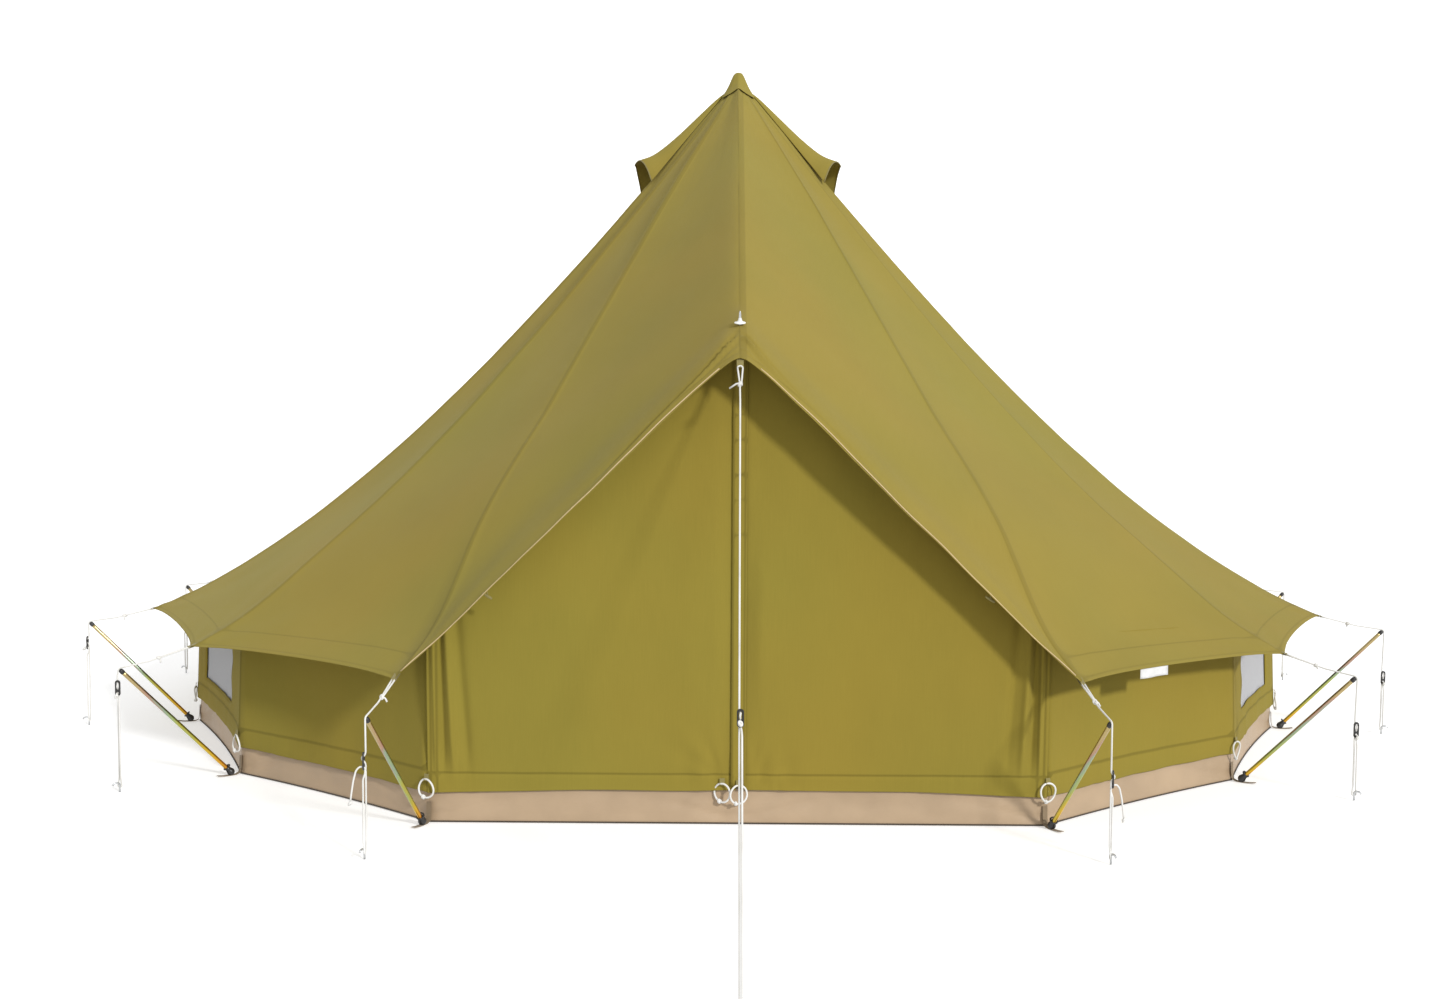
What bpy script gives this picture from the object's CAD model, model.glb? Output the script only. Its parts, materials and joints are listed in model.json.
"""Looks of the bell tent: canvas, ropes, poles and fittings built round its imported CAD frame."""

import json
import math

import bmesh
import bpy
import numpy as np
from mathutils import Matrix, Vector, noise
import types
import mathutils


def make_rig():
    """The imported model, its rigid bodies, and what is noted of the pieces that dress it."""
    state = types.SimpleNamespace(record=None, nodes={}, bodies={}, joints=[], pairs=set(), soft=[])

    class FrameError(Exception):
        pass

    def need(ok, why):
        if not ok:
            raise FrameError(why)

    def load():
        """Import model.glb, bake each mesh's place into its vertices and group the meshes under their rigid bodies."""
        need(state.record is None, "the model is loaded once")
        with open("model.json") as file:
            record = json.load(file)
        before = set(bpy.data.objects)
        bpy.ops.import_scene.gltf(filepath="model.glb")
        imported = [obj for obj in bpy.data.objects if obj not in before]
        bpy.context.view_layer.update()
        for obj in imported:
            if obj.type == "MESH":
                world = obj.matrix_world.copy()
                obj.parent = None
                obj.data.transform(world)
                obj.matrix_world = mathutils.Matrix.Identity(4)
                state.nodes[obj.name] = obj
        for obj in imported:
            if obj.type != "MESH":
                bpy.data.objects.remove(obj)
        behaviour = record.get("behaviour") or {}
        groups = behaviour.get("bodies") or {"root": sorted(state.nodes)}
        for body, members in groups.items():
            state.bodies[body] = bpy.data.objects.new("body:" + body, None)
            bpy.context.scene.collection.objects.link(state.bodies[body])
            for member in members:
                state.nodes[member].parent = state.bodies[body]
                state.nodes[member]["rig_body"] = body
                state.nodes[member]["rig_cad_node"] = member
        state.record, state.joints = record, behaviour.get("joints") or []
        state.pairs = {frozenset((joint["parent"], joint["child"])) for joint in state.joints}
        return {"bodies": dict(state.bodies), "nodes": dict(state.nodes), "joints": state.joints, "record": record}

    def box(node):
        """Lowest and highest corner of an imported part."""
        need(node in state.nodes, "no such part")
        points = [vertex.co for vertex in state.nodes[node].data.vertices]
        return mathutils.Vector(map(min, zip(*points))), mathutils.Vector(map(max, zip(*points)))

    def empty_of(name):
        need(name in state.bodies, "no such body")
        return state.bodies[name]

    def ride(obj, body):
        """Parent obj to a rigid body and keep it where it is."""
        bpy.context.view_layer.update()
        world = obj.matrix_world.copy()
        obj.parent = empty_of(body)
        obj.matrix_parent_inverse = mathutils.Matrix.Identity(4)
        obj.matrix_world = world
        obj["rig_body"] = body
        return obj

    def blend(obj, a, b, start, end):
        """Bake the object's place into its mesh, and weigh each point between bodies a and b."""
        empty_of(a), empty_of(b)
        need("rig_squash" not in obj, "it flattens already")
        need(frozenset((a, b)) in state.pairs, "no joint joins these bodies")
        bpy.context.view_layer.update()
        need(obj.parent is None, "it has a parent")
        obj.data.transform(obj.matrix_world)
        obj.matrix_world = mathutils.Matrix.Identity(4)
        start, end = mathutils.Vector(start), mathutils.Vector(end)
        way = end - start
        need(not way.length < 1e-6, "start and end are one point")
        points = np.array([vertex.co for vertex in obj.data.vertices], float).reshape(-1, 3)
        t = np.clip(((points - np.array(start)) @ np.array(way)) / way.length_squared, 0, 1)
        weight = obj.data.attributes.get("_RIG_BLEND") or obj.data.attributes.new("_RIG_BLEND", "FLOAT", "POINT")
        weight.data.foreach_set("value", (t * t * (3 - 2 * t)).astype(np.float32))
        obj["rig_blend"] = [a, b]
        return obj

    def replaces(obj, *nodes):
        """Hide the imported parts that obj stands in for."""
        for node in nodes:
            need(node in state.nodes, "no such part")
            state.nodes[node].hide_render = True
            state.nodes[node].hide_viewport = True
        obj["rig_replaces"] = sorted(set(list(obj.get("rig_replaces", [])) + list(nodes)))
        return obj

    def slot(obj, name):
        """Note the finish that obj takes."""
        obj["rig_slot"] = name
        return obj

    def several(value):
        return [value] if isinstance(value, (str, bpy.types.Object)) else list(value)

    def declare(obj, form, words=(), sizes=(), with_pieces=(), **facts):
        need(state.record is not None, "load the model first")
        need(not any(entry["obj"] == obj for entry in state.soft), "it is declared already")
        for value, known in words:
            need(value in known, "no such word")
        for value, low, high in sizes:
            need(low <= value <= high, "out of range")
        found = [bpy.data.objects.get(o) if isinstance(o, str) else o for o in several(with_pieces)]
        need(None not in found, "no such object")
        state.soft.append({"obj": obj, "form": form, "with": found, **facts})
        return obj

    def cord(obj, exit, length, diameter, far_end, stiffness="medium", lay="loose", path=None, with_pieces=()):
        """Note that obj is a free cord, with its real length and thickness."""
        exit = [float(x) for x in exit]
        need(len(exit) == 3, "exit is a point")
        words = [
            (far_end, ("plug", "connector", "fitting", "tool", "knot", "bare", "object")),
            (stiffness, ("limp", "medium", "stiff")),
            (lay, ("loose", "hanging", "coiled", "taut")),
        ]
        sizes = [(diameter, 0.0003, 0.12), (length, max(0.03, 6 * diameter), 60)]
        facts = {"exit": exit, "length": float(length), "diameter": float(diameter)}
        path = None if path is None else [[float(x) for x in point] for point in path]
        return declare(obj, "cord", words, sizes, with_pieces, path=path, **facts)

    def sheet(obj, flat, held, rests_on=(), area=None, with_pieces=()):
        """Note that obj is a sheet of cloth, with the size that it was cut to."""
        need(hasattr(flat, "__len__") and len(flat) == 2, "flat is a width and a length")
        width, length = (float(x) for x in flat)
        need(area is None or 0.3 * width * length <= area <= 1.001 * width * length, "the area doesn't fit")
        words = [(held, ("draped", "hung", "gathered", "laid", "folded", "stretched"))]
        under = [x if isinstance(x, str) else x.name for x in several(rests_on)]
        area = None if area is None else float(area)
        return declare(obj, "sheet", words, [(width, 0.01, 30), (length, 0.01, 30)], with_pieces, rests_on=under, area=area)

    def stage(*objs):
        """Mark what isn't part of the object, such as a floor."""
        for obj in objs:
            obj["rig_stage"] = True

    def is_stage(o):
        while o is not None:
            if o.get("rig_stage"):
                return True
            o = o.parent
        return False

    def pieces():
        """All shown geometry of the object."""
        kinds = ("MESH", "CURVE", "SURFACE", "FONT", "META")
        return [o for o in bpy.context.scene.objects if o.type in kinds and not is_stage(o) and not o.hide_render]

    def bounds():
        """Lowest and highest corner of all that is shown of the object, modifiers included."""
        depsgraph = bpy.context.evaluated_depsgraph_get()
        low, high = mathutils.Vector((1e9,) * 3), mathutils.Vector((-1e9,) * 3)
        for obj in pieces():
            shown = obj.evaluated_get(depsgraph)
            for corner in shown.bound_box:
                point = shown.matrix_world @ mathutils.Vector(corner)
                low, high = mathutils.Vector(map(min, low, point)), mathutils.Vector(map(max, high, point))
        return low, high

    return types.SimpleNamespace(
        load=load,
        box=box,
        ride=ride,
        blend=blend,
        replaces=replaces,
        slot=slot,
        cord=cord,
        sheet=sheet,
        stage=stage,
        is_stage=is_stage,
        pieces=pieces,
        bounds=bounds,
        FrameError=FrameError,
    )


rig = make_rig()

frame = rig.load()
cad_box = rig.bounds()

# Driving dimensions, the same as the CAD part's. Lengths are in metres, and a seam's, sector's or
# corner's number is counted from the door's ridge (0) towards +X.
SECTORS = 14
SECTOR_ANGLE = math.tau / SECTORS
BASE_RADIUS = 2.50
ROOF_TOP = 2.985
ROOF_SLOPE = 1.18
ROOF_FLARE = 0.0363
RIDGE_SLOPE = 0.56
LIP_RADIUS = 2.42
EAVE_RADIUS = 2.67
TAB_RADIUS = 2.685
WALL_TOP_RADIUS = 2.48
SAG = 0.03
LIFT_OUTLINE = ((0, 0), (0.8, 0.76), (1.7, 1.0), (2.2, 0.78), (2.45, 0.24), (2.7, 0.06))
LIFT = {1: 0.305, 2: 0.065}
TUB_RADIUS = 2.494
TUB_HEIGHT = 0.150
HEM_HEIGHT = 0.125
DOOR_Y = -BASE_RADIUS * math.cos(SECTOR_ANGLE)
DOOR_HALF_WIDTH = BASE_RADIUS * math.sin(SECTOR_ANGLE)
HINGE_TOP = (0.030, 1.500)
HINGE_FOOT = (1.055, 0.137)
POLE_TUBE = 0.008
POLE_CAP = 0.0085
POLE_FOOT = 0.015
FOOT_RADIUS = 2.532
POLE_RUN = 0.416
TIP_HEIGHT = 0.457
FRONT_LEAN_ANGLE = math.radians(14)
ROPE = 0.003
RUNNER_LENGTH = 0.060
RUNNER_WIDTH = 0.020
RUNNER_SHEET = 0.005
STRAND_OFFSET = RUNNER_SHEET / 2 + ROPE + 0.0005
FRONT_ROPE_TOP = Vector((0, -2.436, 1.600))
FRONT_PEG = Vector((0, -4.02, 0.020))
FRONT_RUNNER_SHARE = 0.62
RUNNER_HEIGHTS = {
    "left": (0.323, 0.395, 0.372, 0.273, 0.300, 0.320),
    "right": (0.280, 0.268, 0.254, 0.290, 0.340, 0.310),
    "back": (0.300,),
}

# Cloth: thicknesses, hems, seams and how far panels sag or bow between their seams
CANVAS_SHEET = 0.0012
DOUBLED_SHEET = 0.0018
NET_SHEET = 0.0008
STRAP_SHEET = 0.0014
EAVE_SEAM_RADIUS = 2.565
SCALLOP = 0.005
HEM_WIDTH = 0.022
DOOR_HEM = 0.055
SEAM_WIDTH = 0.020
SEAM_RAISE = 0.0007
EAVE_RAISE = 0.0006
HINGE_BEND = 0.045
PANEL_BOW = 0.020
NO_LINE = 9.0

# Lengths that shares are turned into metres with: a wall panel along its foot, the roof's slope for
# stitched lines, for pulls at the tabs and for the hood's folds, and the weave's coordinates
PANEL_WIDTH = 1.11
ROOF_SLANT = 3.4
PULL_SLANT = 3.2
HOOD_SLANT = 2.9
ROOF_CUT = 3.6
SECTOR_CUT = 1.2

# Openings: the wall's grid and the window's place in it, and the roof's holes under the vent hoods
WALL_COLUMNS = 28
WALL_SHARES = (0, 0.004, 0.045, 0.08, 0.115, 0.123, *np.linspace(0.16, 0.94, 17), 0.97, 1.0)
WINDOW_ROWS = (7, 23)
RIGHT_WINDOW = 2
LEFT_WINDOW = SECTORS - 3
WINDOWS = {RIGHT_WINDOW: (0.28, 0.86), LEFT_WINDOW: (0.14, 0.72)}
VENT_TOP = 0.20
VENT_LENGTH = 0.18
VENT_HALF_WIDTH = 0.03
VENT_SPREAD = 0.28

# Small things: the label, the rope rings and where a rope starts to stretch with its runner
LABEL_SIZE = (0.155, 0.034)
LABEL_START = 0.288
LABEL_SPAN = 0.135
RING_WIDTH = 0.031
RING_HEIGHT = 0.033
KNOT_BEND = 0.006
BLEND_FROM_CENTRE = 0.034

# Studio
CAMERA_PLACE = (-0.04, -7.92, 1.55)
CAMERA_LENS = 40.93
CAMERA_YAW = math.radians(0.17)
CAMERA_PITCH = math.radians(90 - 4.09)
CAMERA_ROLL = math.radians(0.35)
SUN_FROM = (0.52, -0.74, 0.43)
SUN_STRENGTH = 2.4
SKY_STRENGTH = 0.74
FLOOR_COLOUR = (0.78, 0.78, 0.78, 1)
FLOOR_GLOW = 0.42
WHITE = (1, 1, 1, 1)

SIDES = (("left", -1), ("right", 1))
UP = Vector((0, 0, 1))


# ---------------------------------------------------------------- camera

def make_camera():
    data = bpy.data.cameras.new("camera")
    camera = bpy.data.objects.new("camera", data)
    bpy.context.scene.collection.objects.link(camera)
    data.sensor_width = 36
    data.lens = CAMERA_LENS
    camera.location = CAMERA_PLACE
    turn = Matrix.Rotation(CAMERA_YAW, 4, "Z") @ Matrix.Rotation(CAMERA_PITCH, 4, "X")
    turn = turn @ Matrix.Rotation(CAMERA_ROLL, 4, "Z")
    camera.rotation_euler = turn.to_euler()
    bpy.context.scene.camera = camera


# ---------------------------------------------------------------- shapes

def compass(angle, radius, height=0.0):
    """The point at this angle from the door (-Y), turning towards +X."""
    return Vector((radius * math.sin(angle), -radius * math.cos(angle), height))


def smooth_step(low, high, value):
    t = min(1.0, max(0.0, (value - low) / (high - low)))
    return t * t * (3 - 2 * t)


def smooth_value(outline, at):
    """The height of a smooth curve through the outline's points."""
    xs, ys = np.array(outline, float).T
    slopes = np.gradient(ys, xs)
    i = int(np.clip(np.searchsorted(xs, at) - 1, 0, len(xs) - 2))
    width = xs[i + 1] - xs[i]
    u = (at - xs[i]) / width
    start = ys[i] * (1 + 2 * u) * (1 - u) ** 2 + slopes[i] * width * u * (1 - u) ** 2
    end = ys[i + 1] * u**2 * (3 - 2 * u) - slopes[i + 1] * width * u**2 * (1 - u)
    return float(start + end)


def waver(x, y, z=0.0):
    """Smooth noise from -1 to 1, the same each run."""
    return noise.noise(Vector((x, y, z)))


def add_piece(name, mesh, material, body="tent", slot=None):
    """A piece of the tent riding on a body; with no body, it is blended between two afterwards."""
    obj = bpy.data.objects.new(name, mesh)
    mesh.name = name
    mesh.materials.append(materials[material])
    bpy.context.scene.collection.objects.link(obj)
    if body:
        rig.ride(obj, body)
    if slot:
        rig.slot(obj, slot)
    return obj


def smooth_mesh(mesh):
    mesh.polygons.foreach_set("use_smooth", [True] * len(mesh.polygons))
    mesh.update()
    return mesh


def turn_over(mesh, wanted=True):
    """Turns every face's front to the other side."""
    if wanted:
        for polygon in mesh.polygons:
            polygon.flip()


def repair(mesh, merge=None, fill=None):
    """Merges doubled points, fills the holes among the chosen edges and faces all of it outwards."""
    shape = bmesh.new()
    shape.from_mesh(mesh)
    if merge:
        bmesh.ops.remove_doubles(shape, verts=shape.verts, dist=merge)
    if fill:
        bmesh.ops.holes_fill(shape, edges=[edge for edge in shape.edges if fill(edge)])
    bmesh.ops.recalc_face_normals(shape, faces=shape.faces)
    shape.to_mesh(mesh)
    shape.free()


def grid_mesh(points, uvs, lines=None, closed=False, keep=None):
    """A mesh from a grid of points, with cloth coordinates in metres and the distance to seams."""
    rows, columns = len(points), len(points[0])
    flat = [tuple(p) for row in points for p in row]
    faces = []
    corners = []
    for r in range(rows - 1):
        for c in range(columns if closed else columns - 1):
            d = (c + 1) % columns
            if keep is None or keep(r, c):
                faces.append((r * columns + c, r * columns + d, (r + 1) * columns + d, (r + 1) * columns + c))
                corners += [(r, c), (r, c + 1), (r + 1, c + 1), (r + 1, c)]
    mesh = bpy.data.meshes.new("grid")
    mesh.from_pydata(flat, [], faces)
    layer = mesh.uv_layers.new(name="cloth")
    layer.data.foreach_set("uv", [x for r, c in corners for x in uvs[r][c]])
    line = mesh.attributes.new("line", "FLOAT", "POINT")
    if lines is None:
        line.data.foreach_set("value", [NO_LINE] * len(flat))
    else:
        line.data.foreach_set("value", [x for row in lines for x in row])
    return smooth_mesh(mesh)


def cloth_mesh(row_values, column_values, place):
    """A grid mesh from a function that gives the point, cloth coordinates and seam distance."""
    cells = [[place(row, column) for column in column_values] for row in row_values]
    points, uvs, lines = ([[cell[k] for cell in row] for row in cells] for k in range(3))
    return grid_mesh(points, uvs, lines)


def add_cloth(name, mesh, material, thickness=CANVAS_SHEET, offset=-1.0, body="tent", subdivided=False):
    """A sheet of cloth with its real thickness."""
    obj = add_piece(name, mesh, material, body=None)
    solid = obj.modifiers.new("Thickness", "SOLIDIFY")
    solid.thickness = thickness
    solid.offset = offset
    if subdivided:
        smooth = obj.modifiers.new("Smooth", "SUBSURF")
        smooth.levels = 1
        smooth.render_levels = 1
    if body:
        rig.ride(obj, body)
    return obj


def trail(origin, axes, steps):
    """The points at these steps along the axes from the origin."""
    return [origin + sum((axis * step for axis, step in zip(axes, point)), Vector()) for point in steps]


def spaced_line(points, step):
    """The same line with points no further apart than step."""
    out = [Vector(points[0])]
    for a, b in zip(points, points[1:]):
        a, b = Vector(a), Vector(b)
        count = max(1, math.ceil((b - a).length / step))
        out += [a.lerp(b, i / count) for i in range(1, count + 1)]
    return out


def rounded_line(points, radius, step=0.03):
    """The line with its corners rounded off."""
    points = [Vector(p) for p in points]
    out = [points[0]]
    for before, corner, after in zip(points, points[1:], points[2:]):
        into, away = corner - before, after - corner
        cut = min(radius, into.length * 0.49, away.length * 0.49)
        start, end = corner - into.normalized() * cut, corner + away.normalized() * cut
        for i in range(7):
            t = i / 6
            out.append(start.lerp(corner, t).lerp(corner.lerp(end, t), t))
    out.append(points[-1])
    return spaced_line(out, step)


def line_length(points):
    return sum((b - a).length for a, b in zip(points, points[1:]))


def tube_mesh(path, radius, sides=10, closed=False):
    """A round tube along the path, with coordinates round it and along it in metres."""
    path = [p.copy() for i, p in enumerate(path) if i == 0 or (p - path[i - 1]).length > 1e-5]
    count = len(path)
    if closed:
        tangents = [(path[(i + 1) % count] - path[i - 1]).normalized() for i in range(count)]
    else:
        tangents = [(path[min(i + 1, count - 1)] - path[max(i - 1, 0)]).normalized() for i in range(count)]
    side = tangents[0].orthogonal().normalized()
    points, uvs, along = [], [], 0.0
    steps = count + 1 if closed else count
    for i in range(steps):
        tangent = tangents[i % count]
        side = (side - tangent * side.dot(tangent)).normalized()
        other = tangent.cross(side)
        if i:
            along += (path[i % count] - path[i - 1]).length
        r = radius[i % count] if hasattr(radius, "__len__") else radius
        for k in range(sides):
            a = math.tau * k / sides
            points.append(path[i % count] + (side * math.cos(a) + other * math.sin(a)) * r)
            uvs.append((k / sides, along))
    mesh = bpy.data.meshes.new("tube")
    faces, loops = [], []
    for i in range(steps - 1):
        for k in range(sides):
            j = (k + 1) % sides
            faces.append((i * sides + k, i * sides + j, (i + 1) * sides + j, (i + 1) * sides + k))
            loops += [
                (k / sides, uvs[i * sides][1]),
                ((k + 1) / sides, uvs[i * sides][1]),
                ((k + 1) / sides, uvs[(i + 1) * sides][1]),
                (k / sides, uvs[(i + 1) * sides][1]),
            ]
    if not closed:
        first, last = tuple(reversed(range(sides))), tuple(range((steps - 1) * sides, steps * sides))
        faces += [first, last]
        loops += [uvs[v] for v in first + last]
    mesh.from_pydata([tuple(p) for p in points], [], faces)
    layer = mesh.uv_layers.new(name="cloth")
    layer.data.foreach_set("uv", [x for uv in loops for x in uv])
    smooth_mesh(mesh)
    if closed:
        repair(mesh, merge=1e-5)
    return mesh


def turned_mesh(profile, steps=24):
    """A solid of revolution about Z through (radius, height) points, from the top down."""
    points, faces = [], []
    rings = []
    for r, z in profile:
        if r < 1e-6:
            rings.append([len(points)] * steps)
            points.append((0, 0, z))
        else:
            rings.append(list(range(len(points), len(points) + steps)))
            angles = [math.tau * k / steps for k in range(steps)]
            points += [(r * math.cos(a), r * math.sin(a), z) for a in angles]
    for upper, lower in zip(rings, rings[1:]):
        for k in range(steps):
            j = (k + 1) % steps
            face = [upper[k], lower[k], lower[j], upper[j]]
            face = [v for i, v in enumerate(face) if v not in face[:i]]
            if len(face) > 2:
                faces.append(tuple(face))
    mesh = bpy.data.meshes.new("turned")
    mesh.from_pydata(points, [], faces)
    return smooth_mesh(mesh)


def joined(meshes):
    """One mesh from several, keeping their cloth coordinates."""
    shape = bmesh.new()
    for mesh in meshes:
        shape.from_mesh(mesh)
    out = bpy.data.meshes.new("joined")
    shape.to_mesh(out)
    shape.free()
    for mesh in meshes:
        bpy.data.meshes.remove(mesh)
    return smooth_mesh(out)


def strap_mesh(path, normals, width, thickness):
    """A flat strap: the path is its middle line and each normal is its face's direction there."""
    points = []
    count = len(path)
    for i, (p, n) in enumerate(zip(path, normals)):
        tangent = (path[min(i + 1, count - 1)] - path[max(i - 1, 0)]).normalized()
        across = tangent.cross(n).normalized() * (width / 2)
        up = across.cross(tangent).normalized() * (thickness / 2)
        points.append([p - across + up, p + across + up, p + across - up, p - across - up, p - across + up])
    along = [0.0]
    for a, b in zip(path, path[1:]):
        along.append(along[-1] + (b - a).length)
    around = (0, width, width + thickness, 2 * width, 2 * width + thickness)
    uvs = [[(u, v) for u in around] for v in along]
    mesh = grid_mesh(points, uvs)
    repair(mesh, merge=1e-5, fill=lambda edge: True)
    mesh.polygons.foreach_set("use_smooth", [False] * len(mesh.polygons))
    return mesh


def add_strap(name, path, normals, width, material, thickness=STRAP_SHEET):
    return add_piece(name, strap_mesh(path, normals, width, thickness), material)


# ---------------------------------------------------------------- materials

def start_material(name, **values):
    """A material and its Principled shader, with constant values on the shader's own sockets."""
    material = bpy.data.materials.new(name)
    material.use_nodes = True
    shader = material.node_tree.nodes["Principled BSDF"]
    for socket, value in values.items():
        shader.inputs[socket.replace("_", " ").title().replace("Ior", "IOR")].default_value = value
    return material, material.node_tree, shader


def add_node(tree, kind, inputs=None, **settings):
    node = tree.nodes.new(kind)
    for key, value in settings.items():
        setattr(node, key, value)
    for key, value in (inputs or {}).items():
        if isinstance(value, bpy.types.NodeSocket):
            tree.links.new(value, node.inputs[key])
        else:
            node.inputs[key].default_value = value
    return node


def math_node(tree, operation, a, b=0.0, c=0.0):
    return add_node(tree, "ShaderNodeMath", {0: a, 1: b, 2: c}, operation=operation).outputs[0]


def ramp_node(tree, factor, stops):
    ramp = add_node(tree, "ShaderNodeValToRGB", {0: factor})
    elements = ramp.color_ramp.elements
    while len(elements) < len(stops):
        elements.new(0.5)
    for element, (position, colour) in zip(elements, stops):
        element.position = position
        element.color = (*colour, 1)
    return ramp.outputs[0]


def noise_node(tree, vector, scale, detail=3.0, roughness=0.5):
    inputs = {"Vector": vector, "Scale": scale, "Detail": detail, "Roughness": roughness}
    return add_node(tree, "ShaderNodeTexNoise", inputs).outputs["Fac"]


def object_place(tree):
    return add_node(tree, "ShaderNodeTexCoord").outputs["Object"]


def cloth_place(tree):
    return add_node(tree, "ShaderNodeUVMap", uv_map="cloth").outputs[0]


def map_range(tree, value, low, high, to_low, to_high):
    inputs = {0: value, 1: low, 2: high, 3: to_low, 4: to_high}
    return add_node(tree, "ShaderNodeMapRange", inputs).outputs[0]


def stretch(tree, vector, scale):
    return add_node(tree, "ShaderNodeMapping", {"Vector": vector, "Scale": scale}).outputs[0]


def multiply_colours(tree, one, other):
    inputs = {0: 1.0, 6: one, 7: other}
    return add_node(tree, "ShaderNodeMix", inputs, data_type="RGBA", blend_type="MULTIPLY").outputs[2]


def wire(tree, shader, colour, rough=None, height=None, strength=0.5, distance=0.0006):
    """Joins the finished colour, roughness and bump height to the shader."""
    tree.links.new(colour, shader.inputs["Base Color"])
    if rough:
        tree.links.new(rough, shader.inputs["Roughness"])
    if height:
        inputs = {"Height": height, "Strength": strength, "Distance": distance}
        bump = add_node(tree, "ShaderNodeBump", inputs).outputs[0]
        tree.links.new(bump, shader.inputs["Normal"])


def shade(colour, factor):
    return tuple(min(1.0, x * factor) for x in colour)


def weave_height(tree, cloth, threads_per_metre):
    """Height of a plain weave: threads across and along, each passing over and under."""
    scale = threads_per_metre * math.pi / 10
    settings = {"wave_type": "BANDS", "wave_profile": "SIN"}
    inputs = {"Vector": cloth, "Scale": scale, "Distortion": 0.0}
    across = add_node(tree, "ShaderNodeTexWave", inputs, bands_direction="X", **settings).outputs["Fac"]
    along = add_node(tree, "ShaderNodeTexWave", inputs, bands_direction="Y", **settings).outputs["Fac"]
    return math_node(tree, "MAXIMUM", across, along)


def canvas_material(name, colour, seam_tone, variation=0.06):
    """Proofed cotton canvas: plain weave, slubs, faint clouding and darker stitched lines."""
    material, tree, shader = start_material(
        name, roughness=0.92, sheen_weight=0.10, sheen_roughness=0.45, specular_ior_level=0.12
    )
    shader.inputs["Sheen Tint"].default_value = (0.95, 0.88, 0.50, 1)
    cloth = cloth_place(tree)
    place = object_place(tree)
    clouds = noise_node(tree, place, 1.7, 4)
    slubs = noise_node(tree, stretch(tree, cloth, (260, 9, 1)), 1.0, 2)
    mixed = math_node(tree, "MULTIPLY_ADD", slubs, 0.35, math_node(tree, "MULTIPLY", clouds, 0.65))
    tones = ((0.30, shade(colour, 1 - variation)), (0.50, colour), (0.70, shade(colour, 1 + variation)))
    tone = ramp_node(tree, mixed, tones)
    drift = noise_node(tree, place, 0.9, 2)
    tint = ramp_node(tree, drift, ((0.35, (0.95, 1.0, 0.97)), (0.65, (1.0, 0.965, 0.90))))
    tone = multiply_colours(tree, tone, tint)
    line = add_node(tree, "ShaderNodeAttribute", attribute_name="line").outputs["Fac"]
    near = map_range(tree, math_node(tree, "ABSOLUTE", line), 0.0015, 0.006, seam_tone, 1.0)
    grey = add_node(tree, "ShaderNodeCombineColor", {0: near, 1: near, 2: near}).outputs[0]
    tone = multiply_colours(tree, tone, grey)
    height = weave_height(tree, cloth, 900)
    crumple = noise_node(tree, place, 38, 4, 0.6)
    summed = math_node(tree, "MULTIPLY_ADD", crumple, 1.6, math_node(tree, "MULTIPLY", height, 0.5))
    wire(tree, shader, tone, height=summed, strength=0.35, distance=0.0008)
    return material


def tub_material():
    """Coated groundsheet fabric: smooth, slightly glossy, with soft creases and dust."""
    coat = {"coat_weight": 0.05, "coat_roughness": 0.3}
    material, tree, shader = start_material("tub_fabric", specular_ior_level=0.32, **coat)
    place = object_place(tree)
    dust = noise_node(tree, place, 5, 5)
    colour = (0.43, 0.31, 0.195)
    tone = ramp_node(tree, dust, ((0.30, shade(colour, 0.90)), (0.55, colour), (0.75, shade(colour, 1.10))))
    rough = map_range(tree, dust, 0.3, 0.7, 0.36, 0.52)
    weave = weave_height(tree, cloth_place(tree), 700)
    creases = math_node(tree, "MULTIPLY_ADD", weave, 0.05, noise_node(tree, place, 9, 3))
    wire(tree, shader, tone, rough, creases, 0.4, 0.006)
    return material


def mesh_material():
    """Fine insect netting, dense enough to look pale grey."""
    material, tree, shader = start_material("window_mesh", roughness=0.75, specular_ior_level=0.3)
    threads = weave_height(tree, cloth_place(tree), 420)
    tone = ramp_node(tree, threads, ((0.15, (0.27, 0.27, 0.28)), (0.75, (0.50, 0.50, 0.51))))
    wire(tree, shader, tone, height=threads, distance=0.0008)
    return material


def zinc_material():
    """Yellow zinc plate, whose thin film shows gold, green, blue and pink along the tube."""
    material, tree, shader = start_material("zinc_steel", metallic=1.0)
    tube = cloth_place(tree)
    parts = add_node(tree, "ShaderNodeSeparateXYZ", {0: tube})
    clouds = noise_node(tree, object_place(tree), 6, 2)
    film = math_node(tree, "MULTIPLY_ADD", clouds, 0.55, math_node(tree, "MULTIPLY", parts.outputs[1], 1.25))
    angle = math_node(tree, "MULTIPLY", parts.outputs[0], math.tau)
    turn = math_node(tree, "MULTIPLY", math_node(tree, "SINE", angle), 0.10)
    tones = (
        (0.10, (0.62, 0.24, 0.03)),
        (0.26, (0.66, 0.42, 0.04)),
        (0.40, (0.44, 0.40, 0.07)),
        (0.54, (0.34, 0.42, 0.16)),
        (0.66, (0.30, 0.38, 0.28)),
        (0.78, (0.44, 0.26, 0.20)),
        (0.90, (0.46, 0.36, 0.17)),
    )
    tone = ramp_node(tree, math_node(tree, "ADD", film, turn), tones)
    streaks = noise_node(tree, stretch(tree, tube, (60, 5, 1)), 1.0, 3)
    wire(tree, shader, tone, map_range(tree, streaks, 0.3, 0.7, 0.22, 0.36))
    return material


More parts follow.
